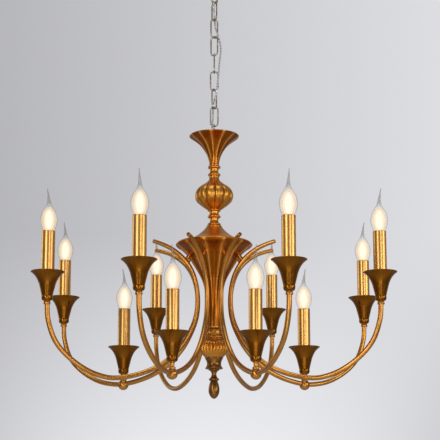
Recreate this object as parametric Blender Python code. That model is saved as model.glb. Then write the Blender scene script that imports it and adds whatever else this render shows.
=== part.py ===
"""Multi arm chandelier on a chain: twelve candle lamps, eight on the arms' ends and four lower ones.

Blender 4.5, metres, +Z up. The ceiling plane is z = 0 and the chandelier hangs below it on the Z axis.
The front is -Y. Heights in the tables below are millimetres above the tip of the bottom finial.
"""

import math

import bmesh
import bpy
from mathutils import Matrix, Vector

# ---------------------------------------------------------------- driving sizes, millimetres
DROP = 902.0  # ceiling to the finial's tip
GAP = 0.3  # between pieces that touch
ROD_R = 3.0  # threaded rod through the column
BORE_R = 3.4  # its hole in each turned piece

ARM_RING_R = 350.0  # axis to an outer candle
INNER_RING_R = 205.0  # axis to a lower candle
ARM_AZIMUTHS = (22.5, 67.5, 112.5, 157.5, -157.5, -112.5, -67.5, -22.5)  # from the front, towards +X
ARM_LIFTS = (0, 10, 0, 0, 0, 0, 10, 0)  # how much higher each arm's end stands; the tubes are bent by hand
INNER_AZIMUTHS = (22.5, 112.5, -112.5, -22.5)
ARM_LOW_R = 225.0  # where the arm is lowest
ARM_R = 5.0  # arm tube
ARM_TIP_R = 3.9  # the horn's end
STUB_R = 4.0  # rod that joins an arm to the body

CUP_RIM_Z = 228.0  # outer cups, before an arm's lift
INNER_CUP_RIM_Z = 114.5
CUP_HEIGHT = 58.0
CUP_FLOOR = 28.0  # depth of the seat below the rim
BALL_R = 11.0
BALL_Z = 34.5
POST_R = 4.5

SLEEVE_R = 13.0
SLEEVE_BORE_R = 11.8
SOCKET_R = 7.6
SLEEVE_ABOVE_RIM = 80.0
TIP_BEND = 5.0  # how far the bulb's drawn tip leans

LINK_COUNT = 7
LINK_LENGTH = 45.2
LINK_WIDTH = 18.6
WIRE_R = 1.5
LINK_YAWS = (-51.0, 27.0, -27.0, 90.0, 0.0, 54.0, 0.0)  # top link first, 0 faces the front
CANOPY_LOOP_YAW = 39.0
TOP_LOOP_YAW = 90.0
LOWEST_LINK_Z = 569.0  # underside of the last link
LOOP_R = 7.6  # centre line of the two fixed loops

TRUMPET_FLOOR_Z = 513.1
CANOPY_R = 60.0
CANOPY_DEPTH = 34.0
CORD_R = 1.75

FLUTES = 12  # round the body and the trumpet
FLUTE_STEPS = 4  # mesh steps round each flute
BODY_FLUTE_DEPTH = 0.085  # a share of the radius
TRUMPET_FLUTE_DEPTH = 0.045
TRUMPET_TURN = 8.0  # degrees, from a flute at the front
MELON_LOBES = 12
MELON_TURN = 18.0  # degrees, from a lobe at the front
URN_LOBES = 24

MM = 0.001

# ---------------------------------------------------------------- outlines, (radius, height)
FINIAL = [(0, 0), (6.5, 4), (10.4, 12), (11.1, 20), (9.6, 29), (7, 36.6), (10.3, 39.7), (6, 45),
          (4.9, 49.6), (7, 55.5), (10.9, 58.5), (10.9, 60)]
FLANGE = [(14, 60.3), (17.7, 61.5), (16.5, 64.8), (14.4, 71), (15.6, 76.7), (18, 82), (18, 84)]
URN = [(19, 84.3), (20.6, 86.4), (27.2, 93.4), (30, 100.4), (29, 109), (21, 118.7), (20.4, 119.5)]
COLLAR = [(20.4, 119.8), (19.4, 122), (20.2, 124), (17.8, 130), (17.4, 136), (18.2, 138.5), (14.4, 144.5)]
BODY = [(13, 144.8), (14.3, 172.8), (17, 203.6), (20, 224), (26, 244.8), (37, 265.3), (46, 279.7),
        (56, 296), (67.7, 306.5), (77.7, 314.7), (79.2, 316.5), (78.6, 318)]
BODY_INSIDE = [(70.5, 318), (60, 308), (49, 296.5), (31.5, 265.8), (21.5, 245.5), (13.4, 205)]
COVER = [(74, 318.3), (76, 320.1), (55, 325.3), (36.8, 336), (24.3, 345.3), (15.6, 355), (14.6, 357.4)]
COVER_INSIDE = [(11, 353.3), (21, 343.4), (34, 333.1), (53, 322.8), (68, 318.3)]
LOWER_SPOOL = [(11, 357.8), (13.8, 359.5), (8.7, 368.2), (13.3, 375.9), (9.7, 383.4), (11.6, 388.6),
               (13.4, 390.7)]
MELON = [(14.1, 391), (28.3, 402.1), (37.8, 410.4), (40.1, 419.7), (38.4, 428), (33.2, 435),
         (22.2, 444.6), (11.2, 454.5)]
UPPER_SPOOL = [(11, 454.8), (10.5, 457.6), (13, 465.4), (8.7, 473.1), (13, 482), (10.6, 484.8)]
TRUMPET = [(10.1, 485.1), (11.3, 496.1), (15, 507.4), (22.4, 520.6), (31.8, 532.1), (44.1, 541.8),
           (51.8, 548), (51.2, 549.5)]
TRUMPET_INSIDE = [(44.9, 549.5), (38.8, 542), (27.9, 532.9), (18.4, 521.4), (12.4, TRUMPET_FLOOR_Z)]
CUP = [(4.6, 0), (9.4, 1.6), (10.9, 9.4), (14, 24), (17.3, 35.5), (22, 46), (32.5, 57.2), (32.2, 58)]
CUP_INSIDE = [(30.6, 58), (20.4, 47), (15.6, 37), (14, 30)]
BULB = [(0, -47), (7, -46), (7, -14.5), (9, -12), (11, 0), (15.6, 12), (17, 24), (14.8, 35), (9, 46),
        (4.6, 55), (2.4, 68), (1.2, 80), (0, 87)]
ARM = [(133.6, 315.2), (114.8, 310.2), (95, 302.6), (75, 289.6), (58.5, 273.2), (46.5, 252.5),
       (38.8, 227), (36.2, 198), (39.4, 168), (50, 139), (71, 104), (104.7, 71.5), (146, 50),
       (190, 38), (ARM_LOW_R, 36.2), (264, 44.5), (303, 66), (332, 95.5), (347, 134.5), (350, 172.3)]
STUB = [(63.2, 279.6), (50.4, 297.4)]

# the supply cord's route: (x, y) from the axis and height, from the trumpet's floor to the canopy
CORD = [(-7.2, -5.2, 515.5), (-7.2, -5.2, 529.8), (-6, -4.8, 550.7), (-4.3, -4.2, 570.6), (-3.2, -2, 583.5),
        (-2.6, 1.6, 594.3), (-2.6, 4.4, 605.1), (-2.4, 4.5, 615.9), (0, 1.6, 626.6), (3, -2.2, 636.3),
        (5, -4.4, 647.1), (6.6, -4.6, 661.1), (8.6, -4.4, 677.3), (9.9, -4.2, 694.5), (11.4, -4, 712.9),
        (13.8, -3.4, 734.4), (12.6, -2.2, 750.6), (9.4, -1.2, 764.6), (6.2, -1.6, 775.4), (3, 0.6, 786.1),
        (1.4, 4, 796.9), (1, 4.9, 807.7), (0.2, 2.6, 817.4), (-0.8, -1.2, 827.1), (-0.8, -4.6, 836.8),
        (-0.6, -6, 846.5), (-0.3, -10, 855.1), (0, -13.6, 862.6), (0, -14, 871.3), (0, -14, 879.9)]


# ---------------------------------------------------------------- shared helpers
def height(z):
    """A height above the finial's tip, as a Z below the ceiling. Millimetres."""
    return z - DROP


def material(name, colour, roughness, metallic, transmission=0.0):
    made = bpy.data.materials.new(name)
    made.use_nodes = True
    shader = made.node_tree.nodes["Principled BSDF"]
    shader.inputs["Base Color"].default_value = (*colour, 1.0)
    shader.inputs["Roughness"].default_value = roughness
    shader.inputs["Metallic"].default_value = metallic
    shader.inputs["Transmission Weight"].default_value = transmission
    return made


def place(name, bm, finish, matrix=Matrix.Identity(4)):
    """Makes the named object from a bmesh whose units are millimetres."""
    bmesh.ops.remove_doubles(bm, verts=bm.verts, dist=1e-5)
    bmesh.ops.recalc_face_normals(bm, faces=bm.faces)
    bm.transform(Matrix.Scale(MM, 4))
    mesh = bpy.data.meshes.new(name)
    bm.to_mesh(mesh)
    bm.free()
    mesh.materials.append(finish)
    made = bpy.data.objects.new(name, mesh)
    made.matrix_world = matrix
    bpy.context.collection.objects.link(made)
    return made


def turned(outline, segments, closed=True, ripple=None):
    """A bmesh of an outline spun about Z. A closed outline ends where it began, as a tube's wall does."""
    bm = bmesh.new()
    verts = [bm.verts.new((r, 0, z)) for r, z in outline]
    edges = [bm.edges.new(pair) for pair in zip(verts, verts[1:])]
    if closed:
        edges.append(bm.edges.new((verts[-1], verts[0])))
    bmesh.ops.spin(bm, geom=verts + edges, cent=(0, 0, 0), axis=(0, 0, 1), angle=math.tau,
                   steps=segments, use_merge=True)
    bmesh.ops.remove_doubles(bm, verts=bm.verts, dist=1e-4)
    if ripple:
        for v in bm.verts:
            radius = math.hypot(v.co.x, v.co.y)
            scale = ripple(math.atan2(v.co.y, v.co.x), radius, v.co.z)
            v.co.x *= scale
            v.co.y *= scale
    return bm


def swept(path, radii, sides, closed=False):
    """A bmesh of a round bar along a path of Vectors, with a radius at each point."""
    bm = bmesh.new()
    count = len(path)
    ends = range(count)
    before = [path[(i - 1) % count] if closed else path[max(i - 1, 0)] for i in ends]
    after = [path[(i + 1) % count] if closed else path[min(i + 1, count - 1)] for i in ends]
    along = [(b - a).normalized() for a, b in zip(before, after)]
    across = along[0].orthogonal().normalized()
    rings = []
    for point, radius, way in zip(path, radii, along):
        across = (across - way * across.dot(way)).normalized()
        other = way.cross(across)
        turns = [math.tau * k / sides for k in range(sides)]
        ring = [point + radius * (math.cos(t) * across + math.sin(t) * other) for t in turns]
        rings.append([bm.verts.new(v) for v in ring])
    pairs = list(zip(rings, rings[1:])) + ([(rings[-1], rings[0])] if closed else [])
    for low, high in pairs:
        for k in range(sides):
            nxt = (k + 1) % sides
            bm.faces.new((low[k], low[nxt], high[nxt], high[k]))
    if not closed:
        bm.faces.new(rings[0])
        bm.faces.new(rings[-1])
    return bm


def combined(name, base, operation, *others):
    """Joins other objects to a base object, or cuts them from it, and deletes the others."""
    for n, other in enumerate(others):
        step = base.modifiers.new(f"{operation} {n}", "BOOLEAN")
        step.operation = operation
        step.solver = "EXACT"
        step.object = other
    bpy.context.view_layer.update()
    evaluated = base.evaluated_get(bpy.context.evaluated_depsgraph_get())
    mesh = bpy.data.meshes.new_from_object(evaluated)
    mesh.transform(base.matrix_world)
    base.modifiers.clear()
    base.data = mesh
    base.matrix_world = Matrix.Identity(4)
    base.name = mesh.name = name
    for other in others:
        bpy.data.objects.remove(other)
    return base


def copy_to(name, source, matrix):
    made = bpy.data.objects.new(name, source.data.copy())
    made.matrix_world = matrix
    bpy.context.collection.objects.link(made)
    return made


def facing(azimuth, radius=0.0, z=0.0):
    """Turns local +X to an azimuth from the front, and moves out along it. Millimetres in, metres out."""
    return about_axis(azimuth - 90.0) @ Matrix.Translation(Vector((radius, 0, z)) * MM)


def about_axis(degrees):
    return Matrix.Rotation(math.radians(degrees), 4, "Z")


def raised(outline):
    return [(r, height(z)) for r, z in outline]


# ---------------------------------------------------------------- ripples round the turned pieces
def rise(z, low, high):
    """0 below one height, 1 above another, in even steps between them."""
    return min(max((z - height(low)) / (high - low), 0.0), 1.0)


def flutes(depth, starts, ends, inside):
    """Hollow flutes with a sharp ridge between them, which rise out of the neck and run out at the rim.

    depth is a share of the radius. starts and ends are the two heights over which they come and go.
    The wall's inner outline stays round.
    """
    smooth = [(r, height(z)) for r, z in inside]

    def ripple(angle, radius, z):
        if radius <= BORE_R + GAP or any(abs(radius - r) + abs(z - h) < 0.01 for r, h in smooth):
            return 1.0
        strength = depth * rise(z, *starts) * (1.0 - rise(z, *ends))
        return 1.0 - strength * abs(math.cos(FLUTES / 2 * angle))
    return ripple


def lobes(count, depth, low, high):
    """Rounded lobes with a groove between them, strongest midway between two heights."""
    def ripple(angle, radius, z):
        groove = 1.0 - abs(math.cos(count / 2 * angle))
        strength = depth * math.sin(math.pi * rise(z, low, high))
        return 1.0 if radius <= BORE_R + GAP else 1.0 - strength * groove
    return ripple


# ---------------------------------------------------------------- the column, from the bottom up
def through_bore(outline):
    """Closes a turned piece's outline along the rod's bore."""
    return outline + [(BORE_R, outline[-1][1]), (BORE_R, outline[0][1])]


def build_column(brass, dark):
    plain = 20
    blind = FINIAL + [(BORE_R, FINIAL[-1][1]), (BORE_R, 51.0), (0, 51.0)]
    place("finial", turned(raised(blind), plain, closed=False), brass)
    place("base_flange", turned(raised(through_bore(FLANGE)), plain), brass)
    urn_lobes = lobes(URN_LOBES, 0.06, 93, 119)
    place("gadrooned_urn", turned(raised(through_bore(URN)), URN_LOBES * 2, ripple=urn_lobes), brass)
    place("body_collar", turned(raised(through_bore(COLLAR)), plain), dark)
    wall = BODY + BODY_INSIDE + [(BORE_R, BODY_INSIDE[-1][1]), (BORE_R, BODY[0][1])]
    body_flutes = flutes(BODY_FLUTE_DEPTH, (165, 205), (298, 313), BODY_INSIDE)
    place("fluted_body", turned(raised(wall), FLUTES * FLUTE_STEPS, ripple=body_flutes), brass)
    cover = COVER + [(BORE_R, COVER[-1][1]), (BORE_R, COVER_INSIDE[0][1])] + COVER_INSIDE
    place("body_cover", turned(raised(cover), 32), brass)
    place("lower_spool", turned(raised(through_bore(LOWER_SPOOL)), plain), brass)
    melon = turned(raised(through_bore(MELON)), MELON_LOBES * 4, ripple=lobes(MELON_LOBES, 0.1, 391, 455))
    place("melon_ball", melon, brass, about_axis(MELON_TURN))
    place("upper_spool", turned(raised(through_bore(UPPER_SPOOL)), plain), brass)


def build_trumpet(brass, steel):
    """The top trumpet, with the loop that the chain holds and the bushing that the cord comes out of."""
    wall = TRUMPET + TRUMPET_INSIDE + [(BORE_R, TRUMPET_FLOOR_Z), (BORE_R, TRUMPET[0][1])]
    trumpet_flutes = flutes(TRUMPET_FLUTE_DEPTH, (486, 508), (539, 552), TRUMPET_INSIDE)
    trumpet = turned(raised(wall), FLUTES * FLUTE_STEPS, ripple=trumpet_flutes)
    place("top_trumpet", trumpet, brass, about_axis(TRUMPET_TURN))
    bar = LOWEST_LINK_Z + WIRE_R * 3 + GAP
    shank = [(4.2, TRUMPET_FLOOR_Z + GAP), (4.2, TRUMPET_FLOOR_Z + 6), (2.6, TRUMPET_FLOOR_Z + 9),
             (2.6, bar - LOOP_R * 2)]
    ring = fixed_loop("loop ring", bar, TOP_LOOP_YAW, steel)
    post = place("loop shank", turned(raised([(0, shank[0][1])] + shank + [(0, shank[-1][1])]), 10,
                                      closed=False), steel)
    combined("top_loop", post, "UNION", ring)
    bush = [(CORD_R + GAP, 0), (3.4, 0), (3.4, 1.6), (CORD_R + GAP, 1.6)]
    spot = Vector((CORD[0][0], CORD[0][1], height(TRUMPET_FLOOR_Z) + GAP)) * MM
    place("cord_bushing", turned(bush, 12), steel, Matrix.Translation(spot))


def build_rod(steel):
    low, high = 51.3, TRUMPET_FLOOR_Z - 1.0
    rod = [(0, low), (ROD_R, low), (ROD_R, high), (0, high)]
    place("centre_rod", turned(raised(rod), 10, closed=False), steel)


# ---------------------------------------------------------------- arms and their cups
def cup_wall(rim_z):
    """A cup's closed outline, solid below the seat that the candle stands on."""
    foot = rim_z - CUP_HEIGHT
    seat = rim_z - CUP_FLOOR
    outline = [(0, foot)] + [(r, foot + z) for r, z in CUP + CUP_INSIDE] + [(0, seat)]
    return raised(outline)


def arm_path(lift=0.0):
    """The tube's centre line. A lifted arm rises further on its way from the lowest point to the cup."""
    outward = ARM_RING_R - ARM_LOW_R
    return [Vector((r, 0, height(z + lift * max(r - ARM_LOW_R, 0.0) / outward))) for r, z in ARM]


def arm_radii():
    """The horn narrows towards its end. The rest of the arm is one width."""
    horn = 3
    taper = [ARM_TIP_R + (ARM_R - ARM_TIP_R) * n / horn for n in range(horn)]
    return taper + [ARM_R] * (len(ARM) - horn)


def whole_arm(lift, brass, dark):
    """An arm is one piece: the long tube with its horn, the stub to the body and the outer cup."""
    tube = place("tube", swept(arm_path(lift), arm_radii(), 8), brass)
    stub_path = [Vector((r, 0, height(z))) for r, z in STUB]
    stub = place("stub", swept(stub_path, [STUB_R] * 2, 8), brass)
    centre = Matrix.Translation(Vector((ARM_RING_R, 0, 0)) * MM)
    cup = place("cup", turned(cup_wall(CUP_RIM_Z + lift), 14, closed=False), dark, centre)
    envelope = [(0, 240)] + [(r + 0.4, z) for r, z in BODY if 240 < z < 312] + [(0, 306.5)]
    clear = place("body clearance", turned(raised(envelope), FLUTES * FLUTE_STEPS, closed=False), brass)
    arm = combined("arm", tube, "UNION", stub, cup)
    return combined("arm", arm, "DIFFERENCE", clear)


def build_arms(brass, dark):
    made = {lift: whole_arm(lift, brass, dark) for lift in sorted(set(ARM_LIFTS))}
    for n, (azimuth, lift) in enumerate(zip(ARM_AZIMUTHS, ARM_LIFTS), 1):
        copy_to(f"arm_{n}", made[lift], facing(azimuth))
    for arm in made.values():
        bpy.data.objects.remove(arm)


def build_inner_branches(brass, dark):
    """A ball threaded on the arm, with a short post and a lower cup on it."""
    centre = Matrix.Translation(Vector((INNER_RING_R, 0, 0)) * MM)
    turns = [math.pi * k / 8 - math.pi / 2 for k in range(9)]
    round_outline = [(BALL_R * math.cos(t), height(BALL_Z) + BALL_R * math.sin(t)) for t in turns]
    ball = place("ball", turned(round_outline, 14, closed=False), brass, centre)
    foot = INNER_CUP_RIM_Z - CUP_HEIGHT
    post_outline = raised([(0, BALL_Z + 9.6), (POST_R, BALL_Z + 9.6), (POST_R, foot + 3), (0, foot + 3)])
    post = place("post", turned(post_outline, 10, closed=False), brass, centre)
    cup = place("inner cup", turned(cup_wall(INNER_CUP_RIM_Z), 14, closed=False), dark, centre)
    passage = [p for p in arm_path() if 140 < p.x < 270]
    hole = place("arm passage", swept(passage, [ARM_R + 0.4] * len(passage), 8), brass)
    branch = combined("branch", cup, "UNION", post, ball)
    branch = combined("branch", branch, "DIFFERENCE", hole)
    for n, azimuth in enumerate(INNER_AZIMUTHS, 1):
        copy_to(f"inner_branch_{n}", branch, facing(azimuth))
    bpy.data.objects.remove(branch)


# ---------------------------------------------------------------- candles
def candle_places():
    """(azimuth, radius, rim height) of each candle: the eight outer ones first."""
    outer = [(azimuth, ARM_RING_R, CUP_RIM_Z + lift) for azimuth, lift in zip(ARM_AZIMUTHS, ARM_LIFTS)]
    return outer + [(azimuth, INNER_RING_R, INNER_CUP_RIM_Z) for azimuth in INNER_AZIMUTHS]


def build_candles(sleeve_brass, glass):
    foot = -CUP_FLOOR + GAP
    top = SLEEVE_ABOVE_RIM
    holder = top - 16.0
    sleeve = [(0, foot), (SLEEVE_R, foot), (SLEEVE_R, top), (SLEEVE_BORE_R, top), (SLEEVE_BORE_R, holder),
              (SOCKET_R, holder), (SOCKET_R, top - 50.0), (0, top - 50.0)]
    for n, (azimuth, radius, rim) in enumerate(candle_places(), 1):
        spot = facing(azimuth, radius, height(rim))
        place(f"candle_sleeve_{n}", turned(sleeve, 14, closed=False), sleeve_brass, spot)
        bulb = turned(BULB, 12, closed=False)
        for v in bulb.verts:
            drawn = max(v.co.z - 57.0, 0.0) / 30.0
            v.co.x += TIP_BEND * drawn ** 1.6
        spot = facing(azimuth, radius, height(rim) + top)
        place(f"bulb_{n}", bulb, glass, spot)


# ---------------------------------------------------------------- chain, canopy and cord
def fixed_loop(name, bar, yaw, finish, upper=True):
    """A round wire loop whose bar, its highest or lowest point, is at the given height."""
    middle = height(bar) + (-LOOP_R if upper else LOOP_R)
    turns = [math.tau * k / 14 for k in range(14)]
    path = [Vector((LOOP_R * math.sin(t), 0, middle + LOOP_R * math.cos(t))) for t in turns]
    return place(name, swept(path, [WIRE_R + 0.1] * 14, 6, closed=True), finish, about_axis(yaw))


def link_top(n):
    """The height of link n's top, with link 1 the highest."""
    pitch = LINK_LENGTH - 4 * WIRE_R - GAP
    return LOWEST_LINK_Z + LINK_LENGTH + (LINK_COUNT - n) * pitch


def link_bar(n):
    """The height of the centre of link n's lower bend, which the next piece swings on."""
    return link_top(n) - LINK_LENGTH + WIRE_R


def build_chain(steel):
    bend = (LINK_WIDTH - 2 * WIRE_R) / 2
    straight = (LINK_LENGTH - LINK_WIDTH) / 2
    path = []
    for k in range(14):
        turn = math.pi * (k % 7) / 6 + (math.pi if k >= 7 else 0.0)
        lift = straight if k < 7 else -straight
        path.append(Vector((bend * math.cos(turn), 0, lift + bend * math.sin(turn))))
    for n, yaw in enumerate(LINK_YAWS, 1):
        middle = height(link_top(n)) - LINK_LENGTH / 2
        spot = Matrix.Translation((0, 0, middle * MM)) @ about_axis(yaw)
        place(f"chain_link_{n}", swept(path, [WIRE_R] * len(path), 6, closed=True), steel, spot)


def build_canopy(brass, steel):
    """The ceiling bracket, the canopy over it and the loop under it that holds the chain."""
    r, d = CANOPY_R, CANOPY_DEPTH
    outside = [(r, -GAP), (r, -5.0), (r - 3, -9.0), (r - 11, -22.0), (r - 26, -31.0), (9, -d), (5.6, -d)]
    inside = [(5.6, 2.0 - d), (r - 27, -28.5), (r - 13, -20.0), (r - 5, -8.0), (r - 2, -4.0), (r - 2, -GAP)]
    canopy = place("canopy", turned(outside + inside, 24), brass)
    hole = turned([(0, -d - 4), (CORD_R + 0.8, -d - 4), (CORD_R + 0.8, -20), (0, -20)], 10, closed=False)
    cord_hole = place("cord hole", hole, brass, Matrix.Translation(Vector((0, CORD[-1][1], 0)) * MM))
    combined("canopy", canopy, "DIFFERENCE", cord_hole)

    bar = link_top(1) - 3 * WIRE_R - GAP
    ring = fixed_loop("canopy ring", bar, CANOPY_LOOP_YAW, steel, upper=False)
    low = height(bar) + LOOP_R * 2
    shank = [(0, low), (2.6, low), (2.6, -d - 5), (9, -d - 4), (9, -d - GAP), (5.0, -d - GAP), (5.0, -8), (0, -8)]
    post = place("canopy shank", turned(shank, 14, closed=False), steel)
    combined("canopy_loop", post, "UNION", ring)

    bm = bmesh.new()
    bmesh.ops.create_cube(bm, size=1.0, matrix=Matrix.Diagonal((96, 22, 2.5, 1)))
    bmesh.ops.translate(bm, verts=bm.verts, vec=(0, 0, -1.25))
    bracket = place("ceiling_bracket", bm, steel)
    cuts = []
    for side in (-1, 1):
        screw = turned([(0, -4), (2.4, -4), (2.4, 2), (0, 2)], 12, closed=False)
        cuts.append(place("screw hole", screw, steel, Matrix.Translation((side * 0.036, 0, 0))))
    combined("ceiling_bracket", bracket, "DIFFERENCE", *cuts)


def build_cord(clear):
    path = [Vector((x, y, height(z))) for x, y, z in CORD]
    place("cord", swept(path, [CORD_R] * len(path), 6), clear)


def main():
    for old in list(bpy.data.objects):
        bpy.data.objects.remove(old)
    brass = material("antique_brass", (0.55, 0.29, 0.09), 0.32, 1.0)
    dark = material("dark_brass", (0.34, 0.17, 0.06), 0.36, 1.0)
    sleeve_brass = material("candle_brass", (0.62, 0.36, 0.12), 0.3, 1.0)
    steel = material("pewter_steel", (0.42, 0.4, 0.36), 0.35, 1.0)
    glass = material("clear_glass", (1.0, 0.96, 0.88), 0.05, 0.0, 0.9)
    clear = material("clear_cord", (0.86, 0.87, 0.88), 0.3, 0.0, 0.4)
    build_column(brass, dark)
    build_trumpet(brass, steel)
    build_rod(steel)
    build_arms(brass, dark)
    build_inner_branches(brass, dark)
    build_candles(sleeve_brass, glass)
    build_chain(steel)
    build_canopy(brass, steel)
    build_cord(clear)


main()
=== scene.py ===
"""Looks for the multi arm chandelier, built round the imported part. Lengths are millimetres until they are made.

The ceiling plane is z = 0, the column hangs on the Z axis and the front is -Y.
Heights in the tables are above the finial's tip, as they are in the part's own source.
"""

import math

import bmesh
import bpy
from mathutils import Matrix, Vector


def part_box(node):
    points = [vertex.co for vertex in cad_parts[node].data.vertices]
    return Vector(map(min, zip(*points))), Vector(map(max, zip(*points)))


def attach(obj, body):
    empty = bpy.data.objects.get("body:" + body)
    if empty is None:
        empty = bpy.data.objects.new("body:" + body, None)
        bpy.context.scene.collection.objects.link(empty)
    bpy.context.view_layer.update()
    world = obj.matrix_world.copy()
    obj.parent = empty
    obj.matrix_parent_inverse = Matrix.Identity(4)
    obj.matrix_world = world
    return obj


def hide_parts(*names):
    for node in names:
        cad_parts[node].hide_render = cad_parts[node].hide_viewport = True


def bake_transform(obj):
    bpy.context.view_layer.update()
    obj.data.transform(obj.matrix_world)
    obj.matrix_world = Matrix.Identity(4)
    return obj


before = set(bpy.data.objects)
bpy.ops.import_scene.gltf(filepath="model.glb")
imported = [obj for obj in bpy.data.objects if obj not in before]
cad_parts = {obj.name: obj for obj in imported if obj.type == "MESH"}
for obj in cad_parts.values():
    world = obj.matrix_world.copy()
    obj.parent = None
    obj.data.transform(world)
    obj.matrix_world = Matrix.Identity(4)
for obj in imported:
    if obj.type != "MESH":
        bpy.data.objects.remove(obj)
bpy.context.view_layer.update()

MM = 0.001
TIP_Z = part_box("finial")[0].z / MM  # the finial's tip

# ---------------------------------------------------------------- sizes shared with the part's source
ARM_AZIMUTHS = (22.5, 67.5, 112.5, 157.5, -157.5, -112.5, -67.5, -22.5)  # from the front, towards +X
ARM_LIFTS = (0, 10, 0, 0, 0, 0, 10, 0)  # how much higher each arm's end stands
INNER_AZIMUTHS = (22.5, 112.5, -112.5, -22.5)
ARM_RING_R, INNER_RING_R, ARM_LOW_R = 350.0, 205.0, 225.0
ARM_R, ARM_TIP_R, STUB_R = 5.0, 3.9, 4.0
CUP_RIM_Z, INNER_CUP_RIM_Z = 228.0, 114.5
CUP_HEIGHT, CUP_FLOOR = 58.0, 28.0
BALL_R, BALL_Z, POST_R = 11.0, 34.5, 4.5
SLEEVE_R, SLEEVE_BORE_R, SOCKET_R, SLEEVE_TOP = 13.0, 11.8, 7.6, 80.0
BULB_TIP_FROM, BULB_TIP_TOP, TIP_BEND = 50.0, 87.0, 5.0  # the drawn-out tip of the glass, above the sleeve
GLOW_SHELLS = ((14.4, -4.0, 48.0), (10.4, 0.0, 44.0), (6.6, 4.0, 40.0))  # (radius, lowest, highest), outside first
FILAMENT_R = 0.45
SCREW_SPACING = 72.0  # of the bracket

LINK_LENGTH, LINK_WIDTH, WIRE_R, LINK_GAP = 45.2, 18.6, 1.5, 0.3
LINK_PITCH = LINK_LENGTH - 4 * WIRE_R - LINK_GAP
LINK_YAWS = (-51.0, 27.0, -27.0, 90.0, 0.0, 54.0, 0.0)
CANOPY_LOOP_YAW, TOP_LOOP_YAW = 39.0, 90.0
LOWEST_LINK_Z, LOOP_R = 569.0, 7.6
TRUMPET_FLOOR_Z, TRUMPET_TURN, MELON_TURN = 513.1, 8.0, 18.0
CORD_R = 1.75
BORE_R = 3.4

# ---------------------------------------------------------------- outlines, (radius, height); None is a corner
# From the cover up, and in the cord, the heights are a first set stretched by about 1.04 and rounded to 0.1 mm.
FINIAL = [(0, 0), (1.6, 0.4), (4.6, 2.2), (6.9, 4.6), (9.4, 9), (10.9, 14.5), (11.1, 20), (10.3, 26), (8.8, 31.5),
          (7, 36.2), None, (9.2, 37.2), (10.4, 38.8), (9.9, 40.6), (7.6, 42.6), (6, 45), (4.9, 49.6), (5.4, 52.6),
          (7, 55.5), (9, 57.2), None, (10.9, 58.2), (11.1, 59.2), (10.7, 60)]
FLANGE = [(14, 60.3), (16.9, 60.5), (17.8, 61.6), (17.2, 63), None, (16.4, 64.4), (14.8, 67.4), (14.4, 71),
          (15, 75), (16.4, 79), None, (17.6, 80.6), (18.2, 82.2), (18, 84)]
URN = [(19, 84.3), (20.6, 86.4), (23.6, 89.6), (27.2, 93.4), (29.4, 97), (30, 100.6), (29.9, 104.6), (28.4, 110),
       (25, 115), (21.4, 118.4), None, (20.4, 119.5)]
COLLAR = [(20.2, 119.8), (20.9, 120.6), (20.6, 121.8), None, (19.3, 122.6), (19.9, 124.2), (19.3, 127.4), (18, 130.4),
          None, (17.4, 131), (17.2, 134), (17.5, 137), None, (18.6, 137.8), (18.8, 139), (17.6, 140.4), (15.4, 142.8),
          (14.4, 144.5)]
BODY = [(13, 144.8), (13.5, 158), (14.3, 172.8), (15.5, 189), (17, 203.6), (20, 224), (26, 244.8), (37, 265.3),
        (46, 279.7), (56, 295.4), (67, 306), (73.6, 311), None, (74.4, 311.2), (77.6, 313.6), (79.2, 316.2),
        (78.8, 317.7), (77.4, 318)]
BODY_INSIDE = [(75.6, 317.2), (70.5, 314.2), (60, 306), (49, 294), (31.5, 265.8), (21.5, 245.5), (13.4, 205)]
COVER = [(73.4, 318.3), (75.6, 318.7), (76.2, 320.1), (75, 321.3), None, (73.6, 321.1), (55, 325.3), (36.8, 334.9),
         (24.3, 345), (17.4, 352.7), None, (16.2, 353.3), (16.4, 355.2), (14.6, 357.4)]
COVER_INSIDE = [(11, 353.3), (21, 343.4), (34, 333.1), (53, 322.8), (68, 318.3)]
LOWER_SPOOL = [(11, 357.8), (13, 358.1), (13.9, 359.5), (13.3, 361.4), (11.2, 362.4), None, (9.6, 363.7), (8.7, 368),
               (9.4, 372.4), None, (11.2, 373.4), (12.9, 374.5), (13.4, 376.1), (12.8, 378), (10.9, 379), None,
               (10.2, 380.3), (9.7, 383), (10.3, 386.5), None, (12, 387.5), (13.6, 389), (13.4, 390.7)]
MELON = [(14.1, 391), (20.2, 395), (28.3, 401.2), (34.9, 407.3), (38.8, 413.1), (40.1, 419.7), (39.1, 426.6),
         (35.8, 433.2), (29.7, 439.4), (22.2, 444.6), (15.2, 449.8), (12.3, 452.9), None, (11.2, 454.5)]
UPPER_SPOOL = [(11, 454.8), (10.4, 458.1), (10.3, 461.9), None, (11.3, 462.7), (12.7, 463.9), (13.1, 465.6),
               (12.5, 467.4), (10.4, 468.3), None, (9.3, 469.3), (8.7, 473.3), (9.3, 477.9), None, (11, 478.8),
               (12.7, 480), (13.1, 481.9), (12.5, 483.8), (10.6, 484.8)]
TRUMPET = [(10.1, 485.1), (10.4, 490.3), (11.3, 496.1), (15, 507.4), (22.4, 520.6), (31.8, 532.1), (44.1, 541.8),
           (50.6, 546.4), None, (51.8, 547.6), (52, 548.9), (51.2, 549.5)]
TRUMPET_INSIDE = [(49.4, 548.9), (44.9, 545.7), (38.8, 541), (27.9, 532.9), (18.4, 521.4), (12.4, TRUMPET_FLOOR_Z)]
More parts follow.
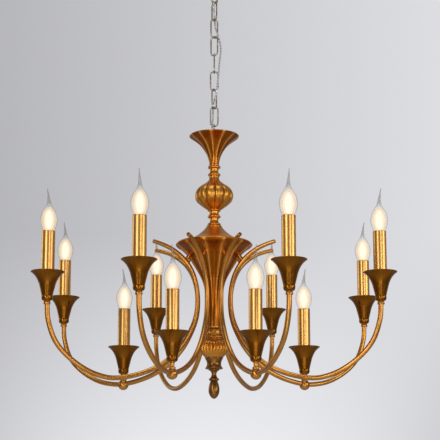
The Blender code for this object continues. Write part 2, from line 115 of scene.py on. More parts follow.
CUP = [(0, 0), (3.6, 0), None, (5.4, 0.2), (8.8, 1.4), (10.6, 4.2), (11, 8.4), (10.6, 10.8), None, (10.9, 11.4),
       (12.2, 17), (14, 24.2), (17.1, 35.6), (22, 46), (27.2, 52.4), (31.6, 56.2), None, (32.5, 56.6), (33, 57.4),
       (32.6, 58.1), (31.8, 58.2), None, (30.8, 57.2), (26.4, 53), (20.6, 46), (15.8, 36.4), (14.4, 31.4), None,
       (13.4, 30), (0, 30)]
BULB = [(7.6, -12.6), (9, -10), (10.2, -4), (11.4, 1), (13.6, 6), (15.6, 12), (16.8, 18.4), (17, 24), (16.3, 29.6),
        (14.8, 35), (12.2, 40.6), (9, 46), (6.4, 50.6), (4.6, 55), (3.2, 61), (2.4, 68), (1.7, 75), (1.2, 81),
        (0.8, 85.4), (0, 87)]
CANOPY = [(60, 0.3), (60.4, 2.4), (59.8, 4.4), None, (58.2, 5), (57.6, 8), (54.6, 14.4), (49, 21.8), (42, 27.2),
          (34, 30.6), (26, 32), None, (25.2, 32.6), (18, 33.6), (9, 34), (5.6, 34)]
CANOPY_INSIDE = [(5.6, 32), (27, 28.5), (38, 25), (47, 18), (54, 8), (57.6, 4), (58, 0.3)]

ARM = [(133.6, 315.2), (114.8, 310.2), (95, 302.6), (75, 289.6), (58.5, 273.2), (46.5, 252.5), (38.8, 227),
       (36.2, 198), (39.4, 168), (50, 139), (71, 104), (104.7, 71.5), (146, 50), (190, 38), (ARM_LOW_R, 36.2),
       (264, 44.5), (303, 66), (332, 95.5), (347, 134.5), (350, 169.3)]
STUB = [(63.2, 279.6), (50.6, 297.1)]

CORD = [(-7.2, -5.2, 515.5), (-7.2, -5.2, 529.8), (-6, -4.8, 550.7), (-4.3, -4.2, 570.6), (-3.2, -2, 583.5),
        (-2.6, 1.6, 594.3), (-2.6, 4.4, 605.1), (-2.4, 4.5, 615.9), (0, 1.6, 626.6), (3, -2.2, 636.3),
        (5, -4.4, 647.1), (6.6, -4.6, 661.1), (8.6, -4.4, 677.3), (9.9, -4.2, 694.5), (11.4, -4, 712.9),
        (13.8, -3.4, 734.4), (12.6, -2.2, 750.6), (9.4, -1.2, 764.6), (6.2, -1.6, 775.4), (3, 0.6, 786.1),
        (1.4, 4, 796.9), (1, 4.9, 807.7), (0.2, 2.6, 817.4), (-0.8, -1.2, 827.1), (-0.8, -4.6, 836.8),
        (-0.6, -6, 846.5), (-0.3, -10, 855.1), (0, -13.6, 862.6), (0, -14, 871.3), (0, -14, 879.9)]


# ---------------------------------------------------------------- small geometry helpers
def height(z):
    """A height above the finial's tip as a Z below the ceiling, both in millimetres."""
    return z + TIP_Z


def between(a, b, c, d, t):
    """A point of the Catmull-Rom curve from b to c."""
    return 0.5 * ((2 * b) + (c - a) * t + (2 * a - 5 * b + 4 * c - d) * t * t + (3 * b - a - 3 * c + d) * t ** 3)


def smooth_run(points, steps):
    points = [Vector(p) for p in points]
    if len(points) < 3:
        return points
    ends = [points[0] * 2 - points[1]] + points + [points[-1] * 2 - points[-2]]
    made = []
    for n in range(1, len(ends) - 2):
        made += [between(ends[n - 1], ends[n], ends[n + 1], ends[n + 2], k / steps) for k in range(steps)]
    return made + [points[-1]]


def smooth(points, steps=4):
    """A smooth curve through the points. It turns sharply where the list holds None."""
    runs, run = [], []
    for p in points:
        if p is None:
            runs.append(run)
            run = []
        else:
            run.append(p)
    made = []
    for run in runs + [run]:
        made += smooth_run(run, steps)
    return made


def about_axis(degrees):
    return Matrix.Rotation(math.radians(degrees), 4, "Z")


def facing(azimuth, radius=0.0, z=0.0):
    """Turns local +X to an azimuth from the front and moves out along it."""
    return about_axis(azimuth - 90.0) @ Matrix.Translation(Vector((radius, 0, z)) * MM)


def lathe_into(bm, outline, segments, ripple=None, closed=False):
    """Spins an outline about Z. ripple(angle, radius, z) gives the radius to use instead."""
    rings = []
    for r, z in (tuple(p)[:2] for p in outline):
        if r < 1e-6:
            rings.append([bm.verts.new((0, 0, z))])
            continue
        ring = []
        for k in range(segments):
            turn = math.tau * k / segments
            out = ripple(turn, r, z) if ripple else r
            ring.append(bm.verts.new((out * math.cos(turn), out * math.sin(turn), z)))
        rings.append(ring)
    pairs = list(zip(rings, rings[1:])) + ([(rings[-1], rings[0])] if closed else [])
    for low, high in pairs:
        for k in range(segments):
            nxt = (k + 1) % segments
            corner = [low[k % len(low)], low[nxt % len(low)], high[nxt % len(high)], high[k % len(high)]]
            corner = [v for i, v in enumerate(corner) if v not in corner[:i]]
            if len(corner) > 2:
                bm.faces.new(corner)
    return bm


def sweep_into(bm, path, radii, sides, closed=False, capped=True, bevel=0.0):
    """A round bar along a path of Vectors. A bevel rounds the edge of each cut end."""
    path, radii = [Vector(p) for p in path], list(radii)
    if bevel and not closed:
        for end, nxt in ((0, 1), (-1, -2)):
            step = (path[nxt] - path[end]).normalized() * bevel
            path.insert(1 if end == 0 else -1, path[end] + step)
            radii.insert(1 if end == 0 else -1, radii[end])
            radii[end] -= bevel
    count = len(path)
    before = [path[(i - 1) % count] if closed else path[max(i - 1, 0)] for i in range(count)]
    after = [path[(i + 1) % count] if closed else path[min(i + 1, count - 1)] for i in range(count)]
    across, rings = None, []
    for point, radius, a, b in zip(path, radii, before, after):
        way = (b - a).normalized()
        across = way.orthogonal().normalized() if across is None else (across - way * across.dot(way)).normalized()
        other = way.cross(across)
        turns = [math.tau * k / sides for k in range(sides)]
        rings.append([bm.verts.new(point + radius * (math.cos(t) * across + math.sin(t) * other)) for t in turns])
    for low, high in list(zip(rings, rings[1:])) + ([(rings[-1], rings[0])] if closed else []):
        for k in range(sides):
            nxt = (k + 1) % sides
            bm.faces.new((low[k], low[nxt], high[nxt], high[k]))
    if capped and not closed:
        bm.faces.new(rings[0])
        bm.faces.new(rings[-1])
    return bm


def finished(name, bm, finishes, matrix=Matrix.Identity(4), sharp=38.0):
    """Makes the object: millimetres to metres, smooth shaded, with its sharper edges kept."""
    bmesh.ops.recalc_face_normals(bm, faces=bm.faces)
    bm.transform(Matrix.Scale(MM, 4))
    for face in bm.faces:
        face.smooth = True
    for edge in bm.edges:
        if len(edge.link_faces) == 2 and edge.calc_face_angle(0.0) > math.radians(sharp):
            edge.smooth = False
    mesh = bpy.data.meshes.new(name)
    bm.to_mesh(mesh)
    bm.free()
    for finish in finishes if isinstance(finishes, list) else [finishes]:
        mesh.materials.append(finish)
    made = bpy.data.objects.new(name, mesh)
    made.matrix_world = matrix
    bpy.context.scene.collection.objects.link(made)
    return made


def settle(piece, body, slot, *nodes):
    """The piece moves with the body and stands for the nodes, whose parts it hides. The slot is not used."""
    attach(piece, body)
    if nodes:
        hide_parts(*nodes)
    return piece


def ramp01(x, low, high):
    return min(max((x - low) / (high - low), 0.0), 1.0)


# ---------------------------------------------------------------- materials
class Nodes:
    """A material and short ways to add nodes to it."""

    def __init__(self, name):
        self.material = bpy.data.materials.new(name)
        self.material.use_nodes = True
        self.tree = self.material.node_tree
        self.shader = self.tree.nodes["Principled BSDF"]
        self.coords = self.add("ShaderNodeTexCoord").outputs["Object"]

    def add(self, kind, inputs=(), **settings):
        node = self.tree.nodes.new(kind)
        for key, value in settings.items():
            setattr(node, key, value)
        for key, value in dict(inputs).items():
            if isinstance(value, bpy.types.NodeSocket):
                self.tree.links.new(value, node.inputs[key])
            else:
                node.inputs[key].default_value = value
        return node

    def set(self, **values):
        for key, value in values.items():
            socket = self.shader.inputs[key.replace("_", " ")]
            if isinstance(value, bpy.types.NodeSocket):
                self.tree.links.new(value, socket)
            else:
                socket.default_value = value

    def noise(self, scale, stretch=(1, 1, 1), detail=3.0, rough=0.55, seed=0.0):
        """A noise value from 0 to 1, with so many waves a metre, stretched along the axes."""
        mapped = self.add("ShaderNodeMapping", {"Vector": self.coords, "Scale": stretch, "Location": (seed, 0, seed)})
        return self.add("ShaderNodeTexNoise", {"Vector": mapped.outputs[0], "Scale": scale, "Detail": detail,
                                               "Roughness": rough}).outputs["Fac"]

    def angle_noise(self, waves, rise, detail=2.0):
        """A noise that runs in streaks up a turned piece: fast round it and slow along its height."""
        x, y, z = self.add("ShaderNodeSeparateXYZ", {"Vector": self.coords}).outputs
        length = self.add("ShaderNodeVectorMath", {0: self.flat(x, y, 0.0)}, operation="NORMALIZE").outputs[0]
        round_x, round_y, _ = self.add("ShaderNodeSeparateXYZ", {"Vector": length}).outputs
        lift = self.math("MULTIPLY", z, rise)
        spot = self.flat(self.math("MULTIPLY", round_x, waves), self.math("MULTIPLY", round_y, waves), lift)
        return self.add("ShaderNodeTexNoise", {"Vector": spot, "Scale": 1.0, "Detail": detail}).outputs["Fac"]

    def flat(self, x, y, z):
        return self.add("ShaderNodeCombineXYZ", {"X": x, "Y": y, "Z": z}).outputs[0]

    def math(self, operation, a, b):
        return self.add("ShaderNodeMath", {0: a, 1: b}, operation=operation).outputs[0]

    def ramp(self, value, *stops):
        """A colour ramp. Each stop is (position, colour), where a colour may be one number."""
        node = self.add("ShaderNodeValToRGB", {"Fac": value})
        ramp = node.color_ramp
        while len(ramp.elements) < len(stops):
            ramp.elements.new(0.5)
        for element, (position, colour) in zip(ramp.elements, stops):
            element.position = position
            element.color = (colour,) * 3 + (1,) if isinstance(colour, (int, float)) else (*colour, 1)
        return node.outputs["Color"]

    def mix(self, share, a, b):
        node = self.add("ShaderNodeMix", data_type="RGBA")
        for key, value in ((0, share), (6, a), (7, b)):
            if isinstance(value, bpy.types.NodeSocket):
                self.tree.links.new(value, node.inputs[key])
            else:
                node.inputs[key].default_value = value if key == 0 else (*value, 1)
        return node.outputs[2]

    def bump(self, value, strength, distance=0.0004):
        inputs = {"Height": value, "Strength": strength, "Distance": distance}
        return self.add("ShaderNodeBump", inputs).outputs["Normal"]

    def hollows(self):
        """0 on the twelve ridges of a fluted piece and 1 in the middle of its hollows."""
        x, y, _ = self.add("ShaderNodeSeparateXYZ", {"Vector": self.coords}).outputs
        turn = self.math("MULTIPLY", self.math("ARCTAN2", y, x), 6.0)
        return self.math("ABSOLUTE", self.math("COSINE", turn, 0.0), 0.0)

    def edges(self, low, high):
        """0 in the hollows, where shade is painted, and 1 on rubbed edges, from the mesh's own sharpness."""
        point = self.add("ShaderNodeNewGeometry").outputs["Pointiness"]
        return self.ramp(point, (low, 0.0), (high, 1.0))


def brass(name, deep, mid, worn_and_highlight, rough=(0.26, 0.34), lines="rings", tarnish=0.3, wear=0.5, relief=None):
    """Satin brass: faint brushed lines, a light cloud of tarnish, painted shade and dark antique lacquer in hollows,
    paler rubbed edges.

    lines is "rings" round a turned piece, "streaks" up it or "fine" in every direction. relief is "flutes" where
    shade is painted in the hollow flutes and a highlight is painted along the ridges, or "lobes" where shade is
    painted in the narrow grooves.
    """
    n = Nodes(name)
    if lines == "rings":
        brushed = n.noise(1.0, (50, 50, 3600), detail=2.0)
    elif lines == "streaks":
        brushed = n.angle_noise(9.0, 2.0)
    else:
        brushed = n.noise(420.0, detail=2.0)
    cloud = n.noise(26.0, detail=3.0, seed=3.1)
    specks = n.noise(520.0, detail=2.0, seed=7.7)
    colour = n.mix(n.ramp(cloud, (0.36, tarnish), (0.64, 0.0)), mid, deep)
    colour = n.mix(n.ramp(brushed, (0.3, 0.08), (0.5, 0.0)), colour, deep)
    colour = n.mix(n.ramp(brushed, (0.52, 0.0), (0.78, 0.1)), colour, worn_and_highlight)
    colour = n.mix(n.ramp(specks, (0.27, 0.12), (0.34, 0.0)), colour, deep)
    if relief == "flutes":
        # Painted shade in the hollow flutes and a painted highlight along the ridges between them.
        hollow = n.hollows()
        colour = n.mix(n.ramp(hollow, (0.0, 0.0), (0.22, 0.15), (0.6, 0.8), (1.0, 0.85)), colour, deep)
        colour = n.mix(n.ramp(hollow, (0.0, 0.95), (0.2, 0.0)), colour, worn_and_highlight)
    if relief == "lobes":
        # Painted shade in the narrow grooves between the lobes.
        colour = n.mix(n.ramp(n.hollows(), (0.0, 0.9), (0.15, 0.6), (0.45, 0.0)), colour, deep)
    if wear:
        # Painted shade darkens the hollows, along with dark antique lacquer; rubbed wear makes the sharp edges paler.
        colour = n.mix(n.edges(0.38, 0.47), deep, colour)
        colour = n.mix(n.math("MULTIPLY", n.edges(0.52, 0.6), wear), colour, worn_and_highlight)
    roughness = n.mix(n.ramp(cloud, (0.35, 1.0), (0.65, 0.0)), (rough[0],) * 3, (rough[1],) * 3)
    n.set(Base_Color=colour, Metallic=1.0, Roughness=roughness, Normal=n.bump(brushed, 0.02, 0.00004))
    return n.material


def pewter():
    n = Nodes("pewter_wire")
    drawn = n.noise(1500.0, detail=2.0)
    cloud = n.noise(90.0, detail=4.0, seed=2.0)
    colour = n.mix(n.ramp(cloud, (0.38, 0.8), (0.64, 0.0)), (0.62, 0.56, 0.45), (0.24, 0.20, 0.14))
    colour = n.mix(n.ramp(drawn, (0.55, 0.0), (0.75, 0.3)), colour, (0.8, 0.74, 0.62))
    roughness = n.mix(cloud, (0.2,) * 3, (0.42,) * 3)
    n.set(Base_Color=colour, Metallic=1.0, Roughness=roughness, Normal=n.bump(drawn, 0.12, 0.0001))
    return n.material


def bulb_glass():
    """Thin clear glass, which shows mostly at its edges."""
    n = Nodes("bulb_glass")
    facing_share = n.add("ShaderNodeLayerWeight", {"Blend": 0.42}).outputs["Facing"]
    seed = n.noise(260.0, detail=2.0)
    clear = n.ramp(seed, (0.3, (0.95, 0.94, 0.9)), (0.7, (0.93, 0.93, 0.95)))
    colour = n.mix(n.ramp(facing_share, (0.45, 0.0), (0.9, 1.0)), clear, (0.17, 0.145, 0.11))
    alpha = n.ramp(facing_share, (0.0, 0.05), (0.4, 0.14), (0.7, 0.45), (1.0, 0.85))
    _, _, z = n.add("ShaderNodeSeparateXYZ", {"Vector": n.coords}).outputs
    drawn_out = n.ramp(z, (0.044, 0.0), (0.058, 1.0))  # the pinched tip, where the glass is thick
    colour = n.mix(drawn_out, colour, (0.34, 0.32, 0.28))
    alpha = n.mix(drawn_out, alpha, (0.4, 0.4, 0.4))
    n.set(Base_Color=colour, Roughness=0.03, Alpha=alpha, Specular_IOR_Level=0.8,
          Normal=n.bump(seed, 0.04, 0.0003))
    return n.material


def glow(name, colour, pale, strength, alpha):
    """Light round the filaments, warmer and weaker further out."""
    n = Nodes(name)
    drift = n.noise(70.0, detail=2.0)
    tint = n.ramp(drift, (0.3, colour), (0.7, pale))
    n.set(Base_Color=n.mix(0.9, tint, (0.02, 0.02, 0.02)), Emission_Color=tint, Emission_Strength=strength,
          Alpha=alpha, Specular_IOR_Level=0.0, Roughness=0.6)
    n.material.cycles.emission_sampling = "NONE"  # they glow but don't light the room, which only adds grain
    return n.material


def lamp_metal():
    n = Nodes("lamp_base_metal")
    rolled = n.noise(1.0, (200, 200, 2600), detail=2.0)
    colour = n.ramp(rolled, (0.3, (0.48, 0.44, 0.36)), (0.7, (0.78, 0.74, 0.64)))
    n.set(Base_Color=colour, Metallic=1.0, Roughness=n.ramp(rolled, (0.3, 0.2), (0.7, 0.38)),
          Normal=n.bump(rolled, 0.1, 0.0001))
    return n.material


def holder_plastic():
    n = Nodes("holder_plastic")
    grain = n.noise(1100.0, detail=3.0)
    colour = n.ramp(grain, (0.3, (0.03, 0.026, 0.022)), (0.7, (0.07, 0.06, 0.05)))
    n.set(Base_Color=colour, Roughness=n.ramp(grain, (0.3, 0.34), (0.7, 0.5)), Normal=n.bump(grain, 0.2, 0.0002))
    return n.material


def cord_sleeve():
    """A clear plastic sleeve over twisted silvery wires."""
    n = Nodes("cord_sleeve")
    x, y, z = n.add("ShaderNodeSeparateXYZ", {"Vector": n.coords}).outputs
    turn = n.math("ADD", n.math("MULTIPLY", z, 900.0), n.math("MULTIPLY", n.math("ADD", x, y), 700.0))
    twist = n.math("SINE", turn, 0.0)
    strands = n.noise(1400.0, detail=2.0)
    wires = n.math("ADD", n.math("MULTIPLY", twist, 0.35), n.math("MULTIPLY", strands, 0.6))
    colour = n.ramp(wires, (0.0, (0.34, 0.35, 0.36)), (0.35, (0.62, 0.63, 0.64)), (0.7, (0.86, 0.87, 0.88)))
    n.set(Base_Color=colour, Metallic=n.ramp(wires, (0.2, 0.1), (0.7, 0.5)), Roughness=0.22, Coat_Weight=0.8,
          Coat_Roughness=0.08, Normal=n.bump(wires, 0.3, 0.0003))
    return n.material


def floor_paint():
    n = Nodes("studio_floor")
    grain = n.noise(6.0, detail=4.0)
    paint = n.ramp(grain, (0.3, (0.78, 0.785, 0.80)), (0.7, (0.83, 0.835, 0.85)))
    seen = n.add("ShaderNodeLightPath").outputs["Is Camera Ray"]  # pale to the eye, but dim in the metal
    n.set(Base_Color=paint, Emission_Color=paint, Emission_Strength=n.math("MULTIPLY", seen, 0.62), Roughness=0.7)
    n.material.cycles.emission_sampling = "NONE"
    return n.material


DEEP = (0.24, 0.062, 0.003)
ANTIQUE = brass("antique_brass_turned", DEEP, (0.86, 0.37, 0.055), (1.0, 0.66, 0.24))
# Painted shade in the grooves between the lobes.
LOBED = brass("antique_brass_lobed", (0.20, 0.05, 0.002), (0.88, 0.40, 0.065), (1.0, 0.66, 0.24), lines="fine",
              rough=(0.32, 0.38), wear=0, relief="lobes")
AGED = brass("antique_brass_aged", (0.06, 0.022, 0.004), (0.34, 0.15, 0.04), (0.85, 0.50, 0.22))
# The flutes carry painted shade in their hollows and a painted highlight on their ridges.
FLUTED = brass("antique_brass_fluted", (0.26, 0.052, 0.001), (0.92, 0.33, 0.03), (1.0, 0.68, 0.24), lines="fine",
               wear=0.9, relief="flutes")
TUBE = brass("antique_brass_tube", DEEP, (0.68, 0.32, 0.07), (1.0, 0.66, 0.26), lines="fine", tarnish=0.3,
             rough=(0.25, 0.31), wear=0)
DARK = brass("dark_brass_cup", (0.08, 0.024, 0.001), (0.29, 0.105, 0.009), (0.66, 0.34, 0.08), lines="streaks",
             rough=(0.2, 0.28), wear=0)
RELIEF = brass("dark_brass_relief", (0.10, 0.028, 0.002), (0.62, 0.26, 0.045), (1.0, 0.6, 0.22), lines="fine",
               wear=0.9)
SATIN = brass("candle_brass_sleeve", (0.40, 0.17, 0.03), (0.80, 0.45, 0.14), (1.0, 0.70, 0.32), lines="streaks",
              rough=(0.27, 0.31), tarnish=0.1, wear=0)
PEWTER = pewter()
GLASS = bulb_glass()
HALO = glow("lamp_halo", (1.0, 0.68, 0.36), (1.0, 0.76, 0.46), 0.95, 0.33)
WARM = glow("lamp_warm", (1.0, 0.88, 0.62), (1.0, 0.93, 0.72), 1.05, 0.45)
CORE = glow("lamp_core", (1.0, 0.98, 0.92), (1.0, 0.99, 0.95), 1.3, 1.0)
LAMP_METAL = lamp_metal()
HOLDER = holder_plastic()
CLEAR = cord_sleeve()


# ---------------------------------------------------------------- camera, then the cord
CAMERA_SPOT = (0.0, -2.450, TIP_Z * MM - 0.1615)
CAMERA_PITCH = 9.73  # degrees up
CAMERA_YAW = 0.284  # degrees towards +X
CAMERA_LENS, CAMERA_SENSOR, CAMERA_SHIFT = 98.9, 36.0, 0.12


def make_camera():
    data = bpy.data.cameras.new("camera")
    data.sensor_width = CAMERA_SENSOR
    data.lens = CAMERA_LENS
    data.shift_y = CAMERA_SHIFT
    camera = bpy.data.objects.new("camera", data)
    camera.location = CAMERA_SPOT
    camera.rotation_euler = (math.radians(90.0 + CAMERA_PITCH), 0.0, -math.radians(CAMERA_YAW))
    bpy.context.scene.collection.objects.link(camera)
    bpy.context.scene.camera = camera


def link_top(n):
    return LOWEST_LINK_Z + LINK_LENGTH + (len(LINK_YAWS) - n) * LINK_PITCH


def build_cord():
    """The cord in eight lengths, one for each joint of the chain, which meet at the middle of each link."""
    route = [Vector((x, y, height(z))) for x, y, z in smooth_run(CORD, 5)]
    middles = [height(link_top(n) - LINK_LENGTH / 2) for n in range(1, len(LINK_YAWS) + 1)]
    cuts = [route[-1].z] + middles + [route[0].z]
    for n, (high, low) in enumerate(zip(cuts, cuts[1:]), 1):
        path = [cut_at(route, high)] + [p for p in reversed(route) if low < p.z < high] + [cut_at(route, low)]
        path = [p for i, p in enumerate(path) if i == 0 or (p - path[i - 1]).length > 0.3]
        bm = sweep_into(bmesh.new(), path, [CORD_R] * len(path), 14)
        piece = finished(f"cord_{n}", bm, CLEAR)
        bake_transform(piece)
        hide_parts("cord")


def cut_at(route, z):
    """The point of the route at a height."""
    for a, b in zip(route, route[1:]):
        if min(a.z, b.z) <= z <= max(a.z, b.z):
            share = (z - a.z) / (b.z - a.z) if abs(b.z - a.z) > 1e-9 else 0.0
            return a.lerp(b, share)
    return route[0] if abs(route[0].z - z) < abs(route[-1].z - z) else route[-1]


# ---------------------------------------------------------------- the column
def flutes(depth, starts, ends):
    """Twelve hollow flutes with a narrow flat ridge between them, which run out at the neck and at the rim."""
    def ripple(angle, radius, z):
        strength = depth * ramp01(z, *map(height, starts)) * (1.0 - ramp01(z, *map(height, ends)))
        hollow = max(abs(math.cos(6 * angle)) - 0.1, 0.0) / 0.9
        return radius * (1.0 - strength * hollow)
    return ripple


def lobes(count, depth, low, high):
    """Rounded lobes with a groove between them, deepest midway between two heights."""
    def ripple(angle, radius, z):
        strength = depth * math.sin(math.pi * ramp01(z, height(low), height(high))) ** 0.7
        groove = (1.0 - abs(math.cos(count / 2 * angle))) ** 1.6
        return radius * (1.0 - strength * groove)
    return ripple


def collar_relief(angle, radius, z):
    """A row of leaves under a row of pellets, raised on the collar."""
    level = z - TIP_Z
    leaf = max(math.cos(10 * angle), 0.0) ** 0.6 * math.sin(math.pi * ramp01(level, 122.8, 130.2))
    pellet = max(math.cos(14 * angle), 0.0) * math.sin(math.pi * ramp01(level, 131.4, 136.8)) ** 0.8
    return radius + 0.9 * leaf + 0.8 * pellet


def turned(name, outline, finish, slot, node, segments=96, ripple=None, inside=None, steps=5, turn=0.0):
    """A turned piece of the column that stands for a node. Without an inside it has the rod's bore."""
    wall = smooth(outline, steps)
    if inside:
        wall += smooth(inside, 3) + [Vector((BORE_R, inside[-1][1])), Vector((BORE_R, outline[0][1]))]
    elif outline[0][0] > 0:
        wall += [Vector((BORE_R, outline[-1][1])), Vector((BORE_R, outline[0][1]))]
    else:
        wall += [Vector((0, outline[-1][1]))]
    wall = [(r, height(z)) for r, z in wall]
    outer = len(smooth(outline, steps))
    if ripple:
        limits = {(round(r, 5), round(z, 5)) for r, z in wall[:outer]}

        def shape(angle, r, z):
            return ripple(angle, r, z) if (round(r, 5), round(z, 5)) in limits else r
    bm = lathe_into(bmesh.new(), wall, segments, shape if ripple else None, closed=outline[0][0] > 0)
    piece = finished(name, bm, finish, about_axis(turn))
    return settle(piece, "fixture", slot, node)


def build_column():
    turned("finial_drop", FINIAL, AGED, "antique_brass", "finial")
    turned("flange", FLANGE, AGED, "antique_brass", "base_flange")
    turned("urn", URN, ANTIQUE, "antique_brass", "gadrooned_urn", 288, lobes(24, 0.075, 92, 119), steps=7)
    turned("collar_band", COLLAR, RELIEF, "dark_brass", "body_collar", 280, collar_relief, steps=6)
    turned("vase", BODY, FLUTED, "antique_brass", "fluted_body", 288, flutes(0.085, (160, 208), (298, 311)),
           BODY_INSIDE, 7)
    cover = COVER + [None, (BORE_R, COVER[-1][1]), (BORE_R, COVER_INSIDE[0][1])]
    wall = [(r, height(z)) for r, z in smooth(cover, 6) + smooth(COVER_INSIDE, 3)]
    piece = finished("vase_cover", lathe_into(bmesh.new(), wall, 128, closed=True), ANTIQUE)
    settle(piece, "fixture", "antique_brass", "body_cover")
    turned("spool_low", LOWER_SPOOL, ANTIQUE, "antique_brass", "lower_spool")
    turned("melon", MELON, LOBED, "antique_brass", "melon_ball", 288, lobes(12, 0.075, 391, 454), steps=6,
           turn=MELON_TURN)
    turned("spool_high", UPPER_SPOOL, ANTIQUE, "antique_brass", "upper_spool")
    turned("trumpet", TRUMPET, FLUTED, "antique_brass", "top_trumpet", 288, flutes(0.07, (488, 510), (538, 550)),
           TRUMPET_INSIDE, 7, TRUMPET_TURN)
    rod = [(0, 51.3), (2.4, 51.3)]
    z = 51.9
    while z < TRUMPET_FLOOR_Z - 1.7:
        rod += [(3.0, z), (2.5, z + 0.6)]
        z += 1.2
    rod += [(2.4, TRUMPET_FLOOR_Z - 1), (0, TRUMPET_FLOOR_Z - 1)]
    bm = lathe_into(bmesh.new(), [(r, height(z)) for r, z in rod], 16)
    settle(finished("threaded_rod", bm, PEWTER), "fixture", "pewter_steel", "centre_rod")


# ---------------------------------------------------------------- arms, cups and candles
def arm_curve(lift):
    """The tube's centre line. A lifted arm rises further on its way from the lowest point to the cup."""
    outward = ARM_RING_R - ARM_LOW_R
    return [Vector((r, 0, height(z + lift * max(r - ARM_LOW_R, 0.0) / outward))) for r, z in smooth_run(ARM, 6)]


def cup_mesh(foot):
    return lathe_into(bmesh.new(), [(r, z + foot) for r, z in smooth(CUP, 5)], 72)


def build_arms():
    horn = next(i for i, p in enumerate(arm_curve(0)) if p.x < 72)
    stub = [Vector((r, 0, height(z))) for r, z in STUB]
    for n, (azimuth, lift) in enumerate(zip(ARM_AZIMUTHS, ARM_LIFTS), 1):
        path, spot = arm_curve(lift), facing(azimuth)
        radii = [ARM_TIP_R + (ARM_R - ARM_TIP_R) * min(i / horn, 1.0) for i in range(len(path))]
        tube = finished(f"arm_tube_{n}", sweep_into(bmesh.new(), path, radii, 24, bevel=0.5), TUBE, spot)
        settle(tube, "fixture", "antique_brass", f"arm_{n}")
        bm = sweep_into(bmesh.new(), [stub[0], stub[0].lerp(stub[1], 0.5), stub[1]], [STUB_R] * 3, 20, bevel=0.3)
        settle(finished(f"arm_stub_{n}", bm, TUBE, spot), "fixture", "antique_brass")
        foot = height(CUP_RIM_Z + lift - CUP_HEIGHT)
        spot = facing(azimuth, ARM_RING_R)
        cup = finished(f"cup_{n}", cup_mesh(foot), DARK, spot)
        settle(cup, "fixture", "dark_brass")
        nut = [(ARM_R - 0.4, -6.3), (6.2, -6.3), None, (6.9, -5.5), (7.1, -3.7), (6.6, -1.9), None, (5.8, -1.3),
               (6.3, -0.3), None, (6.0, 0.3), (ARM_R - 0.4, 0.3)]
        bm = lathe_into(bmesh.new(), [(r, foot + z) for r, z in smooth(nut, 3)], 40, closed=True)
        settle(finished(f"arm_ferrule_{n}", bm, TUBE, spot), "fixture", "antique_brass")


def build_inner_branches():
    foot = INNER_CUP_RIM_Z - CUP_HEIGHT
    for n, azimuth in enumerate(INNER_AZIMUTHS, 1):
        spot = facing(azimuth, INNER_RING_R)
        cup = finished(f"cup_{n + 8}", cup_mesh(height(foot)), DARK, spot)
        settle(cup, "fixture", "dark_brass", f"inner_branch_{n}")
        turns = [math.pi * k / 20 - math.pi / 2 for k in range(20)]
        round_outline = [(BALL_R * math.cos(t), BALL_Z + BALL_R * math.sin(t)) for t in turns[:-3]]
        post = [(6.4, BALL_Z + 10), None, (6.9, BALL_Z + 10.6), (6.9, BALL_Z + 12), None, (5.2, BALL_Z + 12.6),
                (POST_R, BALL_Z + 14), (POST_R, foot - 2.5), (5.0, foot - 0.9), None, (6.4, foot - 0.5),
                (6.6, foot + 0.9), (4, foot + 1.1), (0, foot + 1.1)]
        outline = [(max(r, 0.0), height(z)) for r, z in round_outline + [tuple(p) for p in smooth(post, 3)]]
        outline[0] = (0.0, outline[0][1])
        bm = lathe_into(bmesh.new(), outline, 48)
        settle(finished(f"branch_ball_{n}", bm, TUBE, spot), "fixture", "antique_brass")


def tip_lean(v):
    """The drawn tip of the glass leans to one side."""
    drawn = max(v.z - BULB_TIP_FROM, 0.0) / (BULB_TIP_TOP - BULB_TIP_FROM)
    v.x += TIP_BEND * drawn ** 1.5


def build_candles():
    places = [(azimuth, ARM_RING_R, CUP_RIM_Z + lift) for azimuth, lift in zip(ARM_AZIMUTHS, ARM_LIFTS)]
    places += [(azimuth, INNER_RING_R, INNER_CUP_RIM_Z) for azimuth in INNER_AZIMUTHS]
    foot, top, holder = -CUP_FLOOR + 0.3, SLEEVE_TOP, SLEEVE_TOP - 9.0
    sleeve = [(10.4, foot), (SLEEVE_R - 0.4, foot), None, (SLEEVE_R, foot + 0.5), (SLEEVE_R, 0), (SLEEVE_R, top - 1.6),
              None, (SLEEVE_R + 0.25, top - 1.3), (SLEEVE_R + 0.25, top - 0.4), (SLEEVE_R - 0.3, top), None,
              (SLEEVE_BORE_R + 0.2, top), (SLEEVE_BORE_R, top - 0.5), None, (SLEEVE_BORE_R, holder - 40)]
    socket = [(SOCKET_R, holder - 34), (SOCKET_R, holder), None, (SOCKET_R + 0.8, holder + 0.8), (10.2, holder + 0.8),
              None, (11.5, holder + 0.2), (11.6, holder - 2), None, (11, holder - 3), (11, holder - 34)]
    for n, (azimuth, radius, rim) in enumerate(places, 1):
        spot = facing(azimuth, radius, height(rim))
        bm = lathe_into(bmesh.new(), [tuple(p) for p in smooth(sleeve, 4)], 64, closed=True)
        piece = finished(f"candle_tube_{n}", bm, SATIN, spot)
        settle(piece, "fixture", "candle_brass", f"candle_sleeve_{n}")
        bm = lathe_into(bmesh.new(), [tuple(p) for p in smooth(socket, 3)], 40, closed=True)
        settle(finished(f"lamp_holder_{n}", bm, HOLDER, spot), "fixture", "dark_brass")
        build_lamp(n, facing(azimuth, radius, height(rim + top)))


